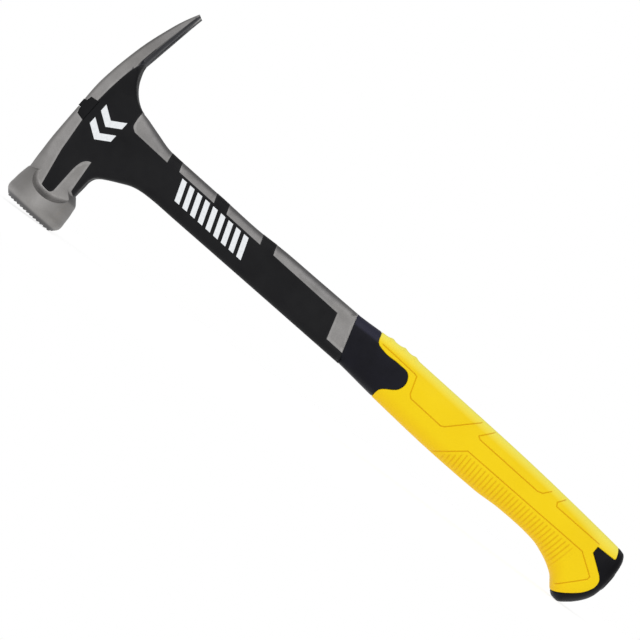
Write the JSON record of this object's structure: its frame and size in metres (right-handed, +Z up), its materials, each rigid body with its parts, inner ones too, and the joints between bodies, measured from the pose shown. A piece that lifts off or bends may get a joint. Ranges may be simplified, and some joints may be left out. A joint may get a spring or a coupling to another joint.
{
  "type": "claw hammer",
  "caption": "Long-handled framing hammer: one-piece steel head and shank with a milled face and a straight rip claw, black jacket, soft yellow grip and black butt cap.",
  "frame": {"origin": "centre of the bounding box, at the surface the hammer is set down on", "axes": "+X along the ground from the head to the butt, +Z up so that the claw points up and the strike face down, +Y across the head"},
  "size_m": [0.4106, 0.039, 0.15],
  "materials": {
    "forged_steel": "satin, shot-blasted forging",
    "jacket_black": "matte",
    "insert_black": "matte",
    "magnet_plate": "nickel plated",
    "core_black": "satin",
    "damper_rubber": "matte",
    "grip_yellow": "satin, soft moulded",
    "cap_black": "satin",
    "white_print": "matte pad print"
  },
  "bodies": {
    "root": {"steel_forging": "forged_steel", "neck_jacket": "jacket_black", "nail_start_insert": "insert_black", "nail_start_magnet": "magnet_plate", "handle_core": "core_black", "tang_damper": "damper_rubber", "grip_sleeve": "grip_yellow", "butt_cap": "cap_black"}
  },
  "joints": []
}
